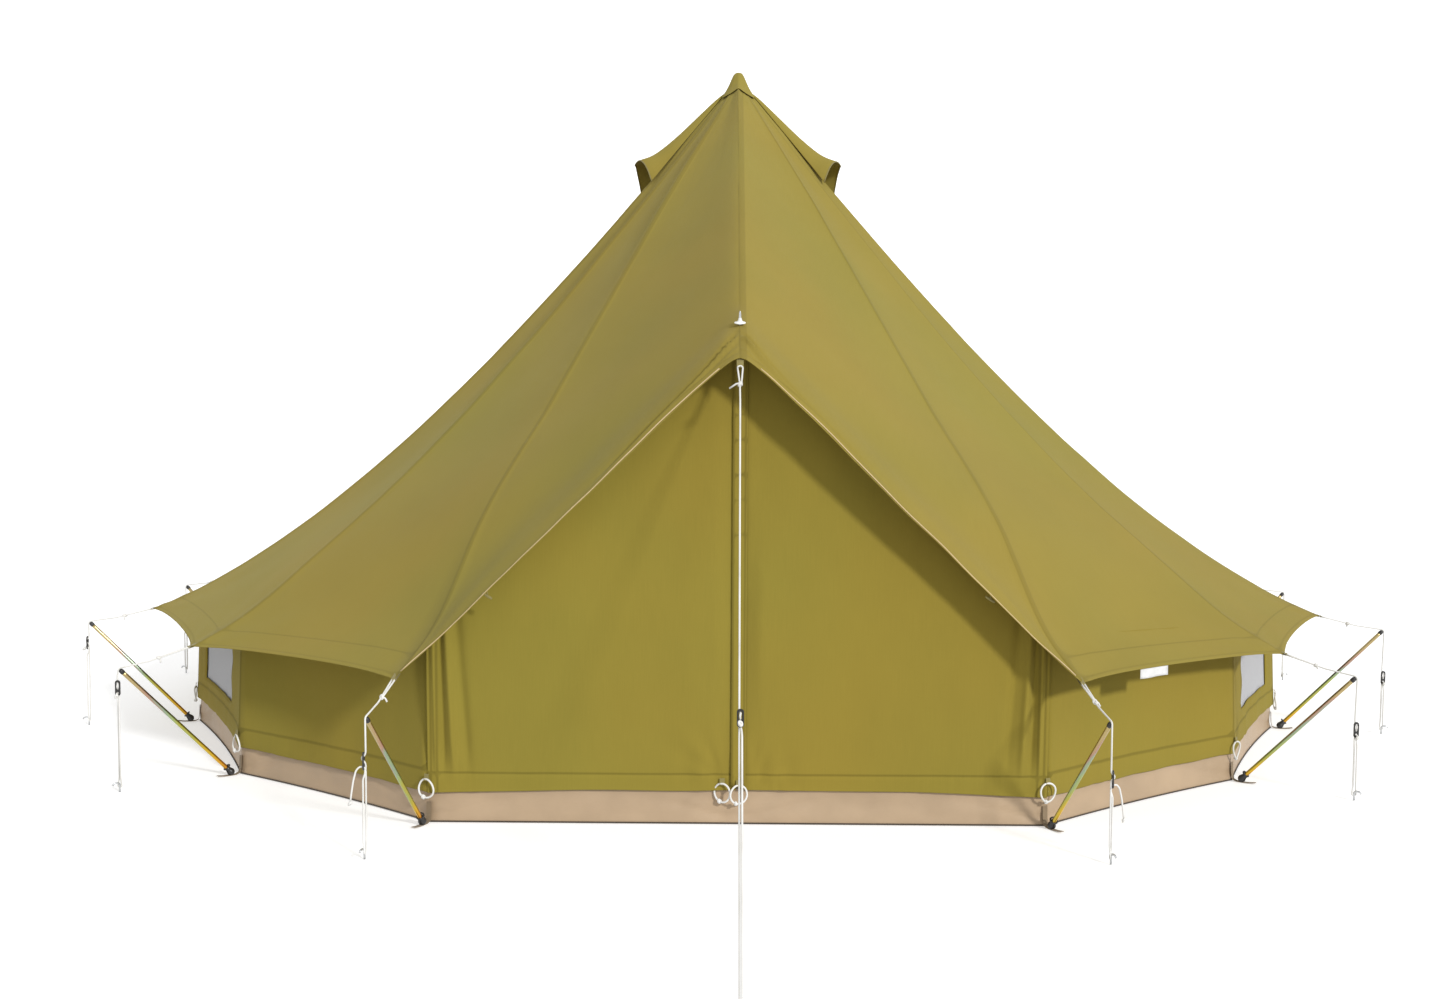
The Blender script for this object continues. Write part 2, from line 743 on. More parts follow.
def steel_material():
    """Galvanised steel with faint spangle and drawing marks."""
    material, tree, shader = start_material("galvanised_steel", metallic=1.0)
    place = object_place(tree)
    spangle = add_node(tree, "ShaderNodeTexVoronoi", {"Vector": place, "Scale": 90.0}).outputs["Distance"]
    tone = ramp_node(tree, spangle, ((0.1, (0.62, 0.63, 0.64)), (0.7, (0.48, 0.49, 0.50))))
    marks = noise_node(tree, stretch(tree, place, (120, 120, 4)), 1.0, 3)
    wire(tree, shader, tone, map_range(tree, marks, 0.3, 0.7, 0.28, 0.45))
    return material


def rope_material():
    """White braided cord, a little dirty."""
    constants = {"roughness": 0.8, "sheen_weight": 0.2, "specular_ior_level": 0.3}
    material, tree, shader = start_material("guy_rope", **constants)
    parts = add_node(tree, "ShaderNodeSeparateXYZ", {0: cloth_place(tree)})
    round_it = math_node(tree, "MULTIPLY", parts.outputs[0], math.tau * 4)
    along = math_node(tree, "MULTIPLY", parts.outputs[1], math.tau / 0.006)
    one = math_node(tree, "SINE", math_node(tree, "ADD", round_it, along))
    other = math_node(tree, "SINE", math_node(tree, "SUBTRACT", round_it, along))
    braid = math_node(tree, "MAXIMUM", one, other)
    mixed = math_node(tree, "MULTIPLY_ADD", braid, 0.12, noise_node(tree, object_place(tree), 9, 3))
    tones = ((0.25, (0.56, 0.55, 0.51)), (0.5, (0.75, 0.74, 0.70)), (0.8, (0.82, 0.81, 0.79)))
    wire(tree, shader, ramp_node(tree, mixed, tones), height=braid)
    return material


def plastic_material(name, colour, roughness):
    """Moulded plastic: a fine grain and slightly polished patches."""
    material, tree, shader = start_material(name, specular_ior_level=0.45)
    place = object_place(tree)
    fine = noise_node(tree, place, 180.0, 3)
    wear = noise_node(tree, place, 25, 3)
    tone = ramp_node(tree, wear, ((0.35, shade(colour, 0.85)), (0.7, shade(colour, 1.2))))
    rough = map_range(tree, wear, 0.3, 0.7, roughness - 0.08, roughness + 0.08)
    wire(tree, shader, tone, rough, fine, 0.25, 0.0004)
    return material


def webbing_material(name, colour):
    """Woven strap with cross ribs."""
    material, tree, shader = start_material(name, roughness=0.85, sheen_weight=0.15)
    cloth = cloth_place(tree)
    ribs = weave_height(tree, cloth, 550)
    mixed = math_node(tree, "MULTIPLY_ADD", ribs, 0.3, noise_node(tree, cloth, 30, 3))
    tone = ramp_node(tree, mixed, ((0.3, shade(colour, 0.75)), (0.7, colour), (1.0, shade(colour, 1.15))))
    wire(tree, shader, tone, height=ribs)
    return material


def make_materials():
    return {
        "roof": canvas_material("roof_cotton", (0.278, 0.220, 0.048), 0.84),
        "wall": canvas_material("wall_cotton", (0.262, 0.202, 0.034), 0.72),
        "tub": tub_material(),
        "mesh": mesh_material(),
        "zinc": zinc_material(),
        "steel": steel_material(),
        "rope": rope_material(),
        "black": plastic_material("black_plastic", (0.022, 0.021, 0.020), 0.42),
        "white": plastic_material("white_plastic", (0.80, 0.80, 0.77), 0.40),
        "tan_strap": webbing_material("tan_webbing", (0.23, 0.165, 0.095)),
        "olive_strap": webbing_material("olive_webbing", (0.24, 0.20, 0.065)),
        "dark_strap": webbing_material("dark_piping", (0.045, 0.032, 0.020)),
        "binding": webbing_material("tan_binding", (0.62, 0.47, 0.25)),
        "label": webbing_material("blank_label", (0.72, 0.72, 0.71)),
        "zip": plastic_material("zip_coil", (0.05, 0.045, 0.02), 0.5),
    }


# ---------------------------------------------------------------- roof

def seam_point(seam, share, reach=EAVE_RADIUS):
    """A point on a roof seam, counted from the door's ridge (0), at this share of its reach."""
    beside_door = min(seam % SECTORS, SECTORS - seam % SECTORS)
    angle = seam * SECTOR_ANGLE
    if beside_door == 0:
        radius = share * LIP_RADIUS
        return compass(angle, radius, ROOF_TOP - RIDGE_SLOPE * radius)
    radius = share * reach
    lift = LIFT.get(beside_door, 0) * smooth_value(LIFT_OUTLINE, radius)
    return compass(angle, radius, ROOF_TOP - ROOF_SLOPE * radius + ROOF_FLARE * radius**3 + lift)


def at_hood(sector):
    return sector in (0, SECTORS - 1)


def roof_point(sector, across, share):
    """The roof's outer face without its fine folds."""
    bow = 4 * across * (1 - across)
    reach = share
    if not at_hood(sector):
        reach = share * (1 - SCALLOP * bow * smooth_step(0.80, 1.0, share))
    left, right = seam_point(sector, reach), seam_point(sector + 1, reach)
    point = left.lerp(right, across)
    sag = SAG * bow * math.sin(math.pi * min(1, reach * EAVE_RADIUS / WALL_TOP_RADIUS))
    outward = compass((sector + across) * SECTOR_ANGLE, 1, 1).normalized()
    point -= outward * max(0, sag)
    if at_hood(sector):
        from_ridge = across if sector == 0 else 1 - across
        ease = 0.045
        x = abs(point.x)
        rounding = x - (math.sqrt(x * x + ease * ease) - ease)
        near_lip = smooth_step(0.86, 1.0, share)
        soft_ridge = smooth_step(0.05, 0.3, share) * (1 - smooth_step(0.82, 0.90, share))
        point.z -= 0.85 * (math.hypot(x, 0.035) - x) * soft_ridge
        point.z += 0.9 * rounding * (1 - from_ridge**2) * near_lip
        point += hood_hem_shape(point, from_ridge, share)
    return point


def hood_hem_shape(point, from_ridge, share):
    """The hood's hem swells and turns down, and folds run along it beside the spike."""
    aside = smooth_step(0.0, 0.06, from_ridge) * (1 - smooth_step(0.85, 1.0, from_ridge))
    swell = 0.015 * math.sin(math.pi * smooth_step(0.86, 1.0, share))
    droop = 0.018 * smooth_step(0.95, 1.0, share) * (0.3 + 0.7 * smooth_step(0.10, 0.45, from_ridge))
    from_edge = (1 - share) * HOOD_SLANT
    fold = 0.034 + 0.16 * math.exp(-from_ridge / 0.055)
    reach = smooth_step(0.0, 0.03, from_ridge) * (1 - smooth_step(0.22, 0.50, from_ridge))
    folds = 0.017 * math.exp(-(((from_edge - fold) / 0.014) ** 2)) * reach
    folds -= 0.012 * math.exp(-(((from_edge - fold - 0.034) / 0.017) ** 2)) * reach
    folds += 0.006 * math.exp(-(((from_edge - fold * 0.45) / 0.009) ** 2)) * reach
    edge_wave = 0.005 * waver(point.x * 8, 4.0) * smooth_step(0.97, 1.0, share)
    lift = (swell - droop + edge_wave) * aside + folds
    return Vector((0, -0.5 * lift, lift))


def roof_folds(sector, across, share, point):
    """How far the cloth stands off its smooth shape: billows, crumples and pulls at the tabs."""
    bow = 4 * across * (1 - across)
    radius = share * EAVE_RADIUS
    inner = smooth_step(0.03, 0.15, share) * (1 - 0.6 * smooth_step(0.9, 1.0, share))
    billow = 0.007 * bow * inner * waver(point.x * 1.3, point.y * 1.3, point.z * 1.3 + 4.0)
    turn = (sector + across) * SECTOR_ANGLE
    crumple = 0.0024 * inner * waver(turn * 9.0, share * 14.0, 1.5)
    crumple += 0.0009 * inner * waver(turn * 40.0, share * 34.0, 7.5)
    top_pull = 0.0055 * (1 - smooth_step(0.05, 0.42, share)) * smooth_step(0.02, 0.08, share)
    top_pull *= waver(turn * 6.0, share * 3.0, 9.0)
    pull = 0.0
    if not at_hood(sector) or (across > 0.5) == (sector == 0):
        along_eave = min(across, 1 - across) * SECTOR_ANGLE * radius
        up_slope = (1 - share) * PULL_SLANT
        from_tab = math.hypot(along_eave, up_slope)
        rays = math.sin(math.atan2(along_eave, up_slope + 0.02) * 9 + sector)
        pull = 0.0040 * math.exp(-from_tab / 0.30) * rays * min(1, from_tab / 0.06)
    return billow + crumple + top_pull + pull


def seam_columns(sector, width):
    """Shares across a sector: close together at the seam strips, and towards the ridge on the hood."""
    strip = min(SEAM_WIDTH, width * 0.2) / width
    edge = min(0.0015, width * 0.02) / width
    even = np.linspace(0, 1, 34 if at_hood(sector) else 17)
    if sector == 0:
        even = even**1.6
    elif at_hood(sector):
        even = 1 - (1 - even) ** 1.6
    return [0.0, edge, strip, *(strip + edge + (1 - strip - 2 * edge) * even)]


def build_roof():
    """The roof and the hood over the door, in one continuous sheet."""
    eave_seam = EAVE_SEAM_RADIUS / EAVE_RADIUS
    shares = [0.010, 0.020, 0.034, *np.linspace(0.05, 0.89, 70), *np.linspace(0.896, 0.956, 15)]
    shares += [eave_seam - 0.002, eave_seam, eave_seam + 0.002, *np.linspace(0.966, 1.0, 20)]
    rows, uvs, lines = [], [], []
    for share in shares:
        row, uv_row, line_row = [], [], []
        width = 2 * share * EAVE_RADIUS * math.sin(SECTOR_ANGLE / 2)
        for sector in range(SECTORS):
            hem = HEM_WIDTH * (1.8 if at_hood(sector) else 1)
            for k, across in enumerate(seam_columns(sector, width)):
                point = roof_point(sector, across, share)
                outward = compass((sector + across) * SECTOR_ANGLE, 1, 1).normalized()
                raised = SEAM_RAISE if 0 < k < 3 and share > 0.05 else 0
                if (1 - share) * ROOF_SLANT < hem:
                    raised += SEAM_RAISE
                if not at_hood(sector) and share > eave_seam:
                    raised += EAVE_RAISE
                point += outward * (roof_folds(sector, across, share, point) + raised)
                point += tab_pull(sector, across, share)
                row.append(point)
                uv_row.append((sector * SECTOR_CUT + across * width, share * ROOF_CUT))
                line_row.append(roof_line(sector, across, share, width, hem))
        rows.append(row)
        uvs.append([*uv_row, (SECTORS * SECTOR_CUT, share * ROOF_CUT)])
        lines.append(line_row)
    mesh = grid_mesh(rows, uvs, lines, closed=True)
    turn_over(mesh)
    cut_vents(mesh)
    roof = add_cloth("roof_cloth", mesh, "roof")
    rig.replaces(roof, "roof_canvas")
    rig.slot(roof, "roof_cotton")
    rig.sheet(roof, flat=(7.2, 7.2), held="stretched", rests_on=["centre_pole"], area=28.6)


def tab_pull(sector, across, share):
    """The eave drawn out to a point at each guy rope."""
    corner = sector if across < 0.5 else sector + 1
    if corner % SECTORS == 0:
        return Vector()
    from_corner = min(across, 1 - across) * SECTOR_ANGLE * EAVE_RADIUS
    amount = smooth_step(WALL_TOP_RADIUS / EAVE_RADIUS, 1.0, share) * math.exp(-from_corner / 0.13)
    outer = seam_point(corner, 1, TAB_RADIUS)
    return (outer - seam_point(corner, 1)) * amount


def roof_line(sector, across, share, width, hem):
    """Distance to the nearest stitched line."""
    found = [min(across, 1 - across) * width, abs(across * width - SEAM_WIDTH)]
    if not at_hood(sector):
        found.append(abs(share - EAVE_SEAM_RADIUS / EAVE_RADIUS) * ROOF_SLANT)
    found.append(abs((1 - share) * ROOF_SLANT - hem))
    return min(found)


def cut_vents(mesh):
    """Opens the roof under each vent hood."""
    shape = bmesh.new()
    shape.from_mesh(mesh)
    cut = []
    for face in shape.faces:
        c = face.calc_center_median()
        from_top = abs(c.x) - VENT_TOP
        if 0 < from_top < VENT_LENGTH and abs(c.y) < VENT_HALF_WIDTH + from_top * VENT_SPREAD:
            cut.append(face)
    bmesh.ops.delete(shape, geom=cut, context="FACES")
    shape.to_mesh(mesh)
    shape.free()


def build_apex_cap():
    """A small hat of canvas over the roof's tip, with a wavy hem."""
    profile = ((0.003, 3.0125), (0.010, 3.0115), (0.018, 3.007), (0.025, 2.997), (0.033, 2.981))
    profile += ((0.046, 2.957), (0.060, 2.933), (0.078, 2.906))
    columns = 56
    rows, uvs, lines = [], [], []
    for i, (radius, height) in enumerate(profile):
        row = []
        low = i / (len(profile) - 1)
        for c in range(columns):
            angle = math.tau * c / columns
            hem = 0.006 * low**2 * math.sin(angle * 7 + 1.0)
            flute = 1 + 0.03 * low * math.cos(angle * SECTORS)
            flute += 0.02 * waver(math.cos(angle) * 2, math.sin(angle) * 2, i * 0.7)
            front = max(0.0, math.cos(angle)) ** 2 * low
            reach = radius * (flute + 0.55 * front)
            z = height + hem
            roof_z = roof_surface_height(angle, reach)
            z += (roof_z + 0.006 - z) * smooth_step(0.45, 1.0, low)
            row.append(compass(angle, reach, max(z, roof_z + 0.005)))
        rows.append(row)
        uvs.append([(math.tau * 0.07 * c / columns, i * 0.02) for c in range(columns + 1)])
        lines.append([abs((len(profile) - 1 - i) * 0.02 - 0.012) + 0.002] * columns)
    mesh = grid_mesh(rows, uvs, lines, closed=True)
    repair(mesh, fill=lambda edge: edge.is_boundary and edge.verts[0].co.z > 3.011)
    cap = add_cloth("apex_hat", smooth_mesh(mesh), "roof", DOUBLED_SHEET, offset=1.0, subdivided=True)
    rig.replaces(cap, "apex_cap")
    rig.slot(cap, "roof_cotton")
    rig.sheet(cap, flat=(0.25, 0.25), held="stretched", rests_on=["roof_cloth"], area=0.045)


def roof_surface_height(angle, radius):
    """Height of the roof's smooth face at this place."""
    turns = (angle % math.tau) / SECTOR_ANGLE
    sector = int(turns) % SECTORS
    across = turns - int(turns)
    share = radius / EAVE_RADIUS
    if at_hood(sector):
        from_ridge = across if sector == 0 else 1 - across
        share = radius / (LIP_RADIUS + (EAVE_RADIUS - LIP_RADIUS) * from_ridge)
    return roof_point(sector, across, share).z


def build_vent_hood(name, side):
    """A canvas hood over an air vent, open at its lower end, with a hem round the mouth."""
    stations = ((0.066, 0.006, 7), (0.10, 0.022, 9), (0.18, 0.040, 12), (0.24, 0.052, 14), (0.30, 0.066, 16))
    stations += ((0.36, 0.086, 17.5), (0.41, 0.108, 18.5), (0.455, 0.137, 19.5), (0.483, 0.160, 20))
    stations += ((0.490, 0.164, 20),)

    def place(station, v):
        radius, rise, half_angle = station
        angle = side * (math.pi / 2 - v * math.radians(half_angle))
        drawn_back = 0.060 * max(0.0, v) * smooth_step(0.34, 0.49, radius)
        reach = radius - drawn_back + 0.004 * waver(v * 2.2 + side, radius * 14)
        base = ROOF_TOP - ROOF_SLOPE * reach + ROOF_FLARE * reach**3
        point = compass(angle, reach, base + 0.003 + rise * (1 - abs(v) ** 2.6))
        return point, (v * 0.16, radius * 1.5), abs(0.490 - radius - 0.030) + 0.001

    arch = np.linspace(-1, 1, 25)
    mesh = cloth_mesh(stations, arch, place)
    turn_over(mesh, side > 0)
    hood = add_cloth("vent_cowl_" + name, mesh, "roof", DOUBLED_SHEET, offset=0.0, subdivided=True)
    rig.replaces(hood, "vent_hood_" + name)
    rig.slot(hood, "roof_cotton")
    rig.sheet(hood, flat=(0.45, 0.42), held="stretched", rests_on=["roof_cloth"], area=0.10)
    mouth = [place(stations[-1], v)[0] for v in arch]
    add_piece("vent_rim_" + name, tube_mesh(mouth, 0.003, 8), "olive_strap")

    def net_place(radius, v):
        half = 0.04 + (radius - VENT_TOP) * 0.3
        z = roof_surface_height(side * math.pi / 2, radius) - 0.012
        return Vector((side * radius, v * half, z)), (v * half, radius * 1.5), NO_LINE

    net = cloth_mesh(np.linspace(0.19, 0.39, 8), np.linspace(-1, 1, 9), net_place)
    add_cloth("vent_net_" + name, net, "zip", NET_SHEET)


# ---------------------------------------------------------------- walls and door

def wall_top_point(seam_share):
    """The roof's underside where the wall is sewn on; 1.5 is half-way along the first wall panel."""
    sector = min(int(seam_share), SECTORS - 1)
    across = seam_share - sector
    share = WALL_TOP_RADIUS / EAVE_RADIUS
    return seam_point(sector, share).lerp(seam_point(sector + 1, share), across) - UP * 0.003


def base_point(position, radius, height):
    """A point above the floor's outline, whose panels bow in a little between the corners."""
    sector = min(int(position), SECTORS - 1)
    across = position - sector
    first = compass(sector * SECTOR_ANGLE, radius, height)
    second = compass((sector + 1) * SECTOR_ANGLE, radius, height)
    inward = PANEL_BOW * 4 * across * (1 - across)
    return first.lerp(second, across) - compass((sector + 0.5) * SECTOR_ANGLE, inward)


def wall_point(sector, across, share):
    """A point of the wall, with its billow, its pleats at the corners and its gathered hem."""
    position = sector + across
    top = wall_top_point(position)
    hang = 0.016 + 0.007 * waver(position * 5.0, 6.0)
    point = base_point(position, BASE_RADIUS, HEM_HEIGHT).lerp(top, share)
    point.z = HEM_HEIGHT + (top.z - HEM_HEIGHT) * share - hang * max(0, 1 - share / 0.14)
    from_corner = min(across, 1 - across) * PANEL_WIDTH
    free = min(1, from_corner / 0.05)
    pleat = 0.007 * math.exp(-from_corner / 0.05) * math.sin(from_corner * 150) * min(1, from_corner / 0.012)
    flute = 0.0045 * waver(position * 7.0, share * 1.2, 3.0)
    flute += 0.0022 * waver(position * 21.0, share * 3.0, 5.0)
    gather = 0.005 * (1 - smooth_step(0.0, 0.30, share)) * waver(position * 26.0, share * 2.0, 11.0)
    billow = -0.016 * math.sin(math.pi * share) * 4 * across * (1 - across)
    return point + compass((sector + 0.5) * SECTOR_ANGLE, 1) * (pleat + (flute + gather) * free + billow)


def build_wall():
    """The wall round the back from one side of the door to the other, with two windows in it."""
    columns = [(s, c / WALL_COLUMNS) for s in range(1, SECTORS - 1) for c in range(WALL_COLUMNS)]
    columns.append((SECTORS - 2, 1.0))
    rows, uvs, lines = [], [], []
    for share in WALL_SHARES:
        row, uv_row, line_row = [], [], []
        for sector, across in columns:
            across += window_wave(sector, across, share)
            point = wall_point(sector, across, share)
            if 0.003 < share < 0.12:
                point += compass((sector + 0.5) * SECTOR_ANGLE, 0.0012)
            row.append(point)
            uv_row.append(((sector + across) * PANEL_WIDTH, share * 0.5))
            from_seam = min(across, 1 - across) * PANEL_WIDTH
            line_row.append(min(from_seam, abs(share - 0.12) * 0.46, abs(from_seam - 0.018)))
        rows.append(row)
        uvs.append(uv_row)
        lines.append(line_row)

    def keep(r, c):
        sector, across = columns[c]
        if sector not in WINDOWS:
            return True
        start, end = WINDOWS[sector]
        return not (start < across + 0.5 / WALL_COLUMNS < end and WINDOW_ROWS[0] <= r < WINDOW_ROWS[1])

    wall = add_cloth("wall_cloth", grid_mesh(rows, uvs, lines, keep=keep), "wall")
    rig.replaces(wall, "wall_canvas")
    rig.slot(wall, "wall_cotton")
    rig.sheet(wall, flat=(0.55, 13.4), held="stretched", rests_on=["roof_cloth"], area=6.3)


def window_wave(sector, across, share):
    """The window's door-side edge ripples, because the cloth there isn't pulled tight."""
    if sector not in WINDOWS:
        return 0.0
    start, end = WINDOWS[sector]
    edge, sign = (start, 1) if sector == RIGHT_WINDOW else (end, -1)
    near = math.exp(-(((across - edge) / 0.07) ** 2))
    slant = 0.055 * (0.6 - share)
    return sign * near * (0.022 * math.sin(share * 17 + 0.6) + slant)


def build_window(name, sector):
    """Netting behind the window's opening."""
    start, end = WINDOWS[sector]

    def place(share, across):
        point = wall_point(sector, across, share) - compass((sector + 0.5) * SECTOR_ANGLE, 0.006)
        return point, (across * PANEL_WIDTH, share * 0.5), NO_LINE

    across_net = np.linspace(start - 0.07, end + 0.05, 20)
    mesh = cloth_mesh(np.linspace(0.14, 0.985, 14), across_net, place)
    net = add_cloth("window_net_" + name, mesh, "mesh", NET_SHEET)
    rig.replaces(net, "window_mesh_" + name)
    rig.slot(net, "window_mesh")
    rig.sheet(net, flat=(0.78, 0.42), held="stretched", rests_on=["wall_cloth"])


def roof_over_door():
    """(x, z) of the roof's underside in the door's plane, from the ridge to the corner."""
    found = []
    for across in np.linspace(0, 1, 41):
        low, high = 0.5, 1.02
        for _ in range(30):
            middle = (low + high) / 2
            if roof_point(0, across, min(1.0, middle)).y < DOOR_Y - 0.002:
                high = middle
            else:
                low = middle
        point = roof_point(0, across, min(1.0, low))
        found.append((point.x, point.z - 0.006))
    return found


def hinge_normal(side):
    """The in-plane direction across the hinge line, away from the flap."""
    (x0, z0), (x1, z1) = HINGE_TOP, HINGE_FOOT
    length = math.hypot(x1 - x0, z1 - z0)
    return Vector((side * (z0 - z1) / length, 0, (x1 - x0) / length))


def bend_with_flap(obj, name, side):
    """The cloth bends along the hinge line when the flap opens."""
    middle = Vector((side * (HINGE_TOP[0] + HINGE_FOOT[0]) / 2, DOOR_Y, (HINGE_TOP[1] + HINGE_FOOT[1]) / 2))
    across = hinge_normal(side) * HINGE_BEND
    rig.blend(obj, "tent", "door_flap_" + name, start=middle + across, end=middle - across)


def door_relief(x, z, side):
    """Forward and backward folds of the door's cloth, positive outwards."""
    corner = DOOR_HALF_WIDTH - abs(x)
    relief = 0.008 * waver(x * 2.2 + side, z * 1.1, 2.0) + 0.0030 * waver(x * 9.0, z * 2.4, side * 3.0)
    relief += 0.016 * math.sin(math.pi * smooth_step(0.12, 1.25, z))
    tall = smooth_step(0.12, 0.30, z) * (1 - smooth_step(0.45, 0.62, z) * smooth_step(0.0, 0.4, corner))
    pleats = ((0.030, 0.009, 0.011), (0.056, 0.010, -0.011), (0.088, 0.013, 0.014), (0.135, 0.018, -0.010))
    for middle, width, height in pleats:
        slanting = corner - middle * (1.15 - 0.5 * z)
        relief += height * math.exp(-((slanting / width) ** 2)) * tall
    from_zip_foot = math.hypot(abs(x) - 0.05, z - 0.17)
    around = math.atan2(z - 0.17, abs(x) - 0.05)
    radiating = math.sin(around * 11 + side) * smooth_step(0.02, 0.08, from_zip_foot)
    relief += 0.0045 * radiating * math.exp(-from_zip_foot / 0.13)
    slanted = x * 0.80 + side * z * 0.62
    relief += 0.0040 * waver(slanted * 8.0, (side * z - x) * 1.0, 8.0) * smooth_step(0.2, 1.1, z)
    low = (1 - smooth_step(0.12, 0.34, z)) * (1 - smooth_step(0.05, 0.30, abs(x)))
    relief += 0.006 * low * math.sin(abs(x) * 60)
    return relief


def build_door(name, side):
    """One half of the door wall: its flap and the fixed cloth beside it, in one sheet."""
    xs, tops = zip(*roof_over_door())
    xs = (*xs[:-1], max(xs[-1], DOOR_HALF_WIDTH))
    columns = [0.004, 0.016, *np.linspace(0.034, 0.24, 24), *np.linspace(0.26, DOOR_HALF_WIDTH - 0.20, 34)]
    columns += [*np.linspace(DOOR_HALF_WIDTH - 0.19, DOOR_HALF_WIDTH, 46)]
    hem_rows = (0, 0.002, 0.018, 0.036, 0.0535, DOOR_HEM, 0.0565)
    rises = [(h, 0) for h in hem_rows] + [(hem_rows[-1], share) for share in np.linspace(0.012, 1.0, 74)]

    def place(rise, x):
        above_hem, share = rise
        z = HEM_HEIGHT + above_hem
        z += (float(np.interp(x, xs, tops)) - z) * share
        relief = door_relief(side * x, z, side) * smooth_step(0.0, 0.07, z - HEM_HEIGHT)
        relief *= (1 - smooth_step(0.9, 1, share)) * smooth_step(0.015, 0.09, x)
        if above_hem < DOOR_HEM:
            puckered = smooth_step(0.1, 0.6, waver(side * x * 3.5, 1.0))
            relief += 0.0012 + 0.0042 * puckered * waver(side * x * 55, z * 12, 3.0)
            hang = 0.018 * (x / DOOR_HALF_WIDTH) ** 2 - 0.006 * waver(x * 2.4, side * 2.0)
            z -= hang * (1 - above_hem / DOOR_HEM)
        from_corner = DOOR_HALF_WIDTH - x
        line = min(abs(z - HEM_HEIGHT - DOOR_HEM), abs(from_corner - 0.012), abs(from_corner - 0.035))
        return Vector((side * x, DOOR_Y - relief, z)), (side * x + 2, z), line

    mesh = cloth_mesh(rises, columns, place)
    turn_over(mesh, side < 0)
    door = add_cloth("door_cloth_" + name, mesh, "wall", body=None)
    bend_with_flap(door, name, side)
    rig.replaces(door, "door_" + name, "door_surround")
    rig.slot(door, "wall_cotton")
    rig.sheet(door, flat=(1.1, 1.6), held="stretched", rests_on=["roof_cloth"], area=1.20)


def build_storm_flap():
    """The strip of canvas over the zip, with the stitching of its fastening patches."""
    half = 0.024
    columns = (-half, -half + 0.004, -half + 0.012, -0.006, 0.004, half - 0.010, half - 0.003, half + 0.003)

    def place(z, x):
        patch = abs((z - 0.30) % 0.21 - 0.045) - 0.045
        flare = 0.006 * smooth_step(0, half, x) * waver(z * 7, 2.0) + 0.004 * (1 - smooth_step(0.15, 0.3, z))
        point = Vector((x + 0.002, DOOR_Y - 0.0075 - abs(flare) - 0.0015 * waver(z * 16, x * 40), z))
        border = min(abs(x + half - 0.004), abs(x - half + 0.003))
        return point, (x, z), min(border, abs(patch)) if patch < 0.004 else border

    mesh = cloth_mesh(np.linspace(0.140, 1.68, 90), columns, place)
    flap = add_cloth("storm_flap", mesh, "wall", 0.0016, body=None)
    bend_with_flap(flap, "left", -1)
    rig.slot(flap, "wall_cotton")
    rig.sheet(flap, flat=(0.054, 1.55), held="stretched", rests_on=["door_cloth_left"])


def build_zip():
    """The zip's coil, half on each flap, and its slider."""
    for name, side in SIDES:
        path = [Vector((side * 0.0028, DOOR_Y + 0.003, z)) for z in np.linspace(0.13, 1.50, 90)]
        radii = [0.0026 + 0.0004 * (i % 2) for i in range(len(path))]
        coil = add_piece("zip_coil_" + name, tube_mesh(path, radii, 8), "zip", body=None)
        bend_with_flap(coil, name, side)
    low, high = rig.box("zip_slider")
    middle = (low + high) / 2
    size = high - low
    shape = bmesh.new()
    bmesh.ops.create_cube(shape, size=1)
    for vertex in shape.verts:
        narrow = 0.70 if vertex.co.z < 0 else 1.0
        vertex.co = vertex.co * size * Vector((narrow, 1, 1)) + middle
    bmesh.ops.bevel(shape, geom=shape.edges[:], offset=0.0012, segments=3, affect="EDGES", profile=0.6)
    mesh = bpy.data.meshes.new("zip_car")
    shape.to_mesh(mesh)
    shape.free()
    ring = []
    for a in np.linspace(0, math.tau, 17)[:-1]:
        ring.append(middle + Vector((0.004 * math.sin(a), size.y / 2 + 0.0015, -0.012 + 0.011 * math.cos(a))))
    puller = tube_mesh(ring, 0.0012, 8, closed=True)
    car = add_piece("zip_car", joined([mesh, puller]), "steel", "zip_slider")
    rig.replaces(car, "zip_slider")
    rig.slot(car, "zip_metal")


def build_label():
    """A blank woven label sewn under the eave of the panel right of the door."""
    width, height = LABEL_SIZE

    def place(down, along):
        across = LABEL_START + LABEL_SPAN * along
        wave = compass((1 + across) * SECTOR_ANGLE, 0.002 + 0.004 * math.sin(along * 6.4) * down)
        point = roof_point(1, across, 0.999) - UP * (height * down + 0.003) + wave
        return point, (width * along, height * down), NO_LINE

    mesh = cloth_mesh(np.linspace(0, 1, 5), np.linspace(0, 1, 9), place)
    label = add_cloth("blank_label", mesh, "label", NET_SHEET, offset=0.0)
    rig.sheet(label, flat=LABEL_SIZE, held="hung", rests_on=["roof_cloth"])


